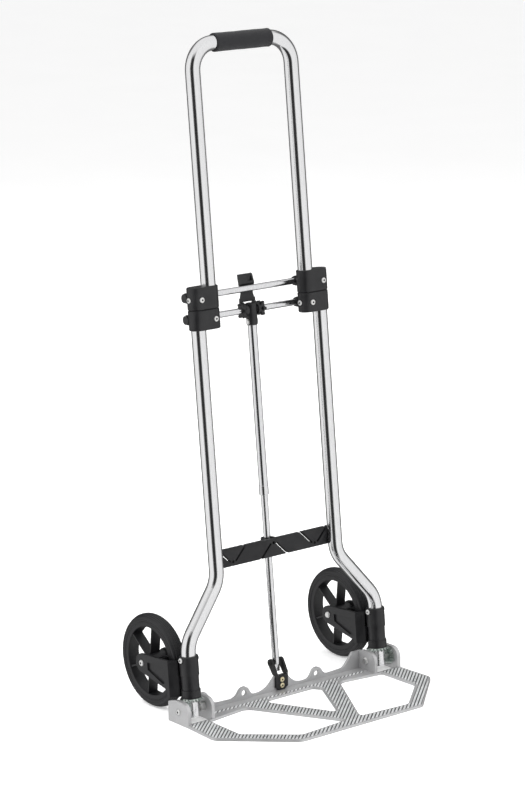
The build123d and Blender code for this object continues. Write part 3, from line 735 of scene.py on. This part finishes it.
def toe_ribs():
    """Low slanted ribs with valley strips in painted shade between them, cut off where the plate's flat top ends.
    """
    low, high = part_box("toe_plate")
    plate = welded("toe_plate")
    tree = BVHTree.FromBMesh(plate)
    plate.free()
    nose = Vector((0, low.y + NOSE_INSET, 0))
    top = below(tree, nose).z
    pitch = 5.7 * MM
    slant = radians(41.5)
    run = Vector((cos(slant), sin(slant), 0))
    step_across = Vector((sin(slant), -cos(slant), 0))
    centre = Vector(((low.x + high.x) / 2, (low.y + high.y) / 2, 0))
    reach = (high - low).length
    bm = bmesh.new()
    foot = 1.85 * MM
    crest = 1.25 * MM
    height = 0.5 * MM
    sunk = 0.1 * MM
    # the valley strips stand this far above the plate, a thin sheet that carries the painted shade
    skin = 0.06 * MM
    count = ceil(reach / pitch)
    for i in range(-count, count + 1):
        start = centre + step_across * (i * pitch) - run * reach
        for a, b in rib_spans(tree, top, start, run, 2 * reach, RIB_STRIDE):
            section = (
                (-pitch / 2, -sunk, 0), (-pitch / 2, skin, 0), (-foot, skin, 0), (-crest, height, foot),
                (crest, height, foot), (foot, skin, 0), (pitch / 2, skin, 0), (pitch / 2, -sunk, 0),
            )
            ends = []
            for place, inward in ((a, 1), (b, -1)):
                ends.append([
                    bm.verts.new(
                        start + run * (place + inward * inset) + step_across * off
                        + Vector((0, 0, top + lift))
                    )
                    for off, lift, inset in section
                ])
            sides = len(section)
            for k in range(sides):
                m = (k + 1) % sides
                strip = bm.faces.new((ends[0][k], ends[0][m], ends[1][m], ends[1][k]))
                # faces other than the raised sides are valley strips in painted shade
                strip.material_index = 0 if k in RAISED else 1
            bm.faces.new(ends[0])
            bm.faces.new(ends[1][::-1])
    made = piece("toe_ribs", bm, "toe_plate")
    made.data.materials[0] = bright_rib
    # second slot: painted shade on the valley strips
    made.data.materials.append(valley_shade_paint)


toe_ribs()


# ---------------------------------------------------------------- camera, floor and light
FLOOR_DROP = 0.0004
FLOOR_R = 30
WALL_R = 29
NEAR_AXIS = 0.0001           # a turned sheet's innermost ring
STAGE_STEPS = 96


def camera():
    azimuth = radians(-38.28)
    elevation = radians(13.14)
    roll = radians(-0.87)
    distance = 4.62361
    aim = Vector((-0.04113, 0.01225, 0.51833))
    right = Vector((cos(azimuth), sin(azimuth), 0))
    toward = Vector((sin(azimuth) * cos(elevation), -cos(azimuth) * cos(elevation), sin(elevation)))
    above = toward.cross(right)
    x_axis = right * cos(roll) + above * sin(roll)
    y_axis = above * cos(roll) - right * sin(roll)
    data = bpy.data.cameras.new("camera")
    data.lens = 126.3
    data.sensor_width = 36
    made = bpy.data.objects.new("camera", data)
    made.matrix_world = Matrix.Translation(aim + toward * distance) @ Matrix(
        (x_axis, y_axis, toward)
    ).transposed().to_4x4()
    bpy.context.scene.collection.objects.link(made)
    bpy.context.scene.camera = made
    return toward


def stage_piece(name, profile, material):
    """A turned sheet, measured from just below the floor level, that isn't part of the object."""
    bm = bmesh.new()
    lathe(bm, profile, Vector((0, 0, -FLOOR_DROP)), Vector((0, 0, 1)), STAGE_STEPS)
    mesh = bpy.data.meshes.new(name)
    bm.to_mesh(mesh)
    bm.free()
    made = bpy.data.objects.new(name, mesh)
    mesh.materials.append(material)
    bpy.context.scene.collection.objects.link(made)
    return made


def floor():
    s = Surface(
        "floor_paper", Roughness=0.85, Specular_IOR_Level=0.1,
        Emission_Color=(1, 1, 1, 1), Emission_Strength=0.32,
    )
    s.colour(s.ramp(s.noise(3, 2), (0.3, (0.86, 0.86, 0.86)), (0.7, (0.88, 0.88, 0.88))))
    sheet = stage_piece("floor", ((NEAR_AXIS, 0), (FLOOR_R, 0)), s.material)
    sheet.visible_glossy = False
    paper = Surface(
        "backdrop_paper", Roughness=0.9, Specular_IOR_Level=0.0,
        Emission_Color=(1, 1, 1, 1), Emission_Strength=0.9,
    )
    paper.colour(paper.ramp(paper.noise(3, 2), (0.3, (0.08, 0.08, 0.08)), (0.7, (0.10, 0.10, 0.10))))
    wall = stage_piece("backdrop", ((WALL_R, -1), (WALL_R, 30), (NEAR_AXIS, 40)), paper.material)
    wall.visible_glossy = False
    wall.visible_diffuse = False
    wall.visible_shadow = False


def studio(toward):
    """Two wide bright screens on either side of the camera, dark between and behind, and a pale sky."""
    world = bpy.data.worlds.new("studio")
    world.use_nodes = True
    bpy.context.scene.world = world
    tree = world.node_tree
    link = tree.links.new
    facing = atan2(toward.y, toward.x)

    def node(kind, **settings):
        made = tree.nodes.new("ShaderNode" + kind)
        for key, value in settings.items():
            setattr(made, key, value)
        return made

    place = node("TexCoord")
    parts = node("SeparateXYZ")
    link(place.outputs["Generated"], parts.inputs[0])
    bearing = node("Math", operation="ARCTAN2")
    link(parts.outputs["Y"], bearing.inputs[0])
    link(parts.outputs["X"], bearing.inputs[1])
    turned = node("Math", operation="SUBTRACT")
    turned.inputs[1].default_value = facing
    link(bearing.outputs[0], turned.inputs[0])
    wrapped = node("Math", operation="WRAP")
    wrapped.inputs[1].default_value = pi
    wrapped.inputs[2].default_value = -pi
    link(turned.outputs[0], wrapped.inputs[0])
    share = node("MapRange")
    share.inputs["From Min"].default_value = -pi
    share.inputs["From Max"].default_value = pi
    link(wrapped.outputs[0], share.inputs["Value"])
    screens = node("ValToRGB")
    ramp = screens.color_ramp
    # Brightness by bearing in degrees, where 0 is towards the camera
    stops = (
        (-180, 0.16), (-124, 0.14), (-108, 0.9), (-44, 0.95), (-30, 0.03),
        (8, 0.03), (20, 0.95), (108, 0.9), (122, 0.14), (180, 0.16),
    )
    while len(ramp.elements) < len(stops):
        ramp.elements.new(0.5)
    for element, (degrees, value) in zip(ramp.elements, stops):
        element.position = (degrees + 180) / 360
        element.color = (value, value, value, 1)
    link(share.outputs["Result"], screens.inputs["Fac"])
    height = node("MapRange", interpolation_type="SMOOTHSTEP")
    height.inputs["From Min"].default_value = 0.55
    height.inputs["From Max"].default_value = 0.85
    link(parts.outputs["Z"], height.inputs["Value"])
    sky = node("Mix", data_type="RGBA")
    sky.inputs["B"].default_value = (0.9, 0.9, 0.9, 1)
    link(height.outputs["Result"], sky.inputs["Factor"])
    link(screens.outputs["Color"], sky.inputs["A"])
    background = tree.nodes["Background"]
    background.inputs["Strength"].default_value = 1.0
    link(sky.outputs["Result"], background.inputs["Color"])

    distance = 2.6
    aim = Vector((0, 0, 0.45))
    for name, bearing_deg, lift, size, power in (
        ("key", -55, 2.6, 2.4, 95), ("fill", 60, 2.0, 2.6, 55), ("over", 180, 3.4, 3.0, 60),
    ):
        data = bpy.data.lights.new(name, "AREA")
        data.size = size
        data.energy = power
        turn = facing + radians(bearing_deg)
        spot = Vector((cos(turn), sin(turn), 0)) * distance + Vector((0, 0, lift))
        light = bpy.data.objects.new(name, data)
        turned_to = (spot - aim).to_track_quat("Z", "Y").to_matrix().to_4x4()
        light.matrix_world = Matrix.Translation(spot) @ turned_to
        light.visible_camera = False
        light.visible_glossy = False
        bpy.context.scene.collection.objects.link(light)


bpy.context.scene.view_settings.view_transform = "Standard"
toward_camera = camera()
floor()
studio(toward_camera)
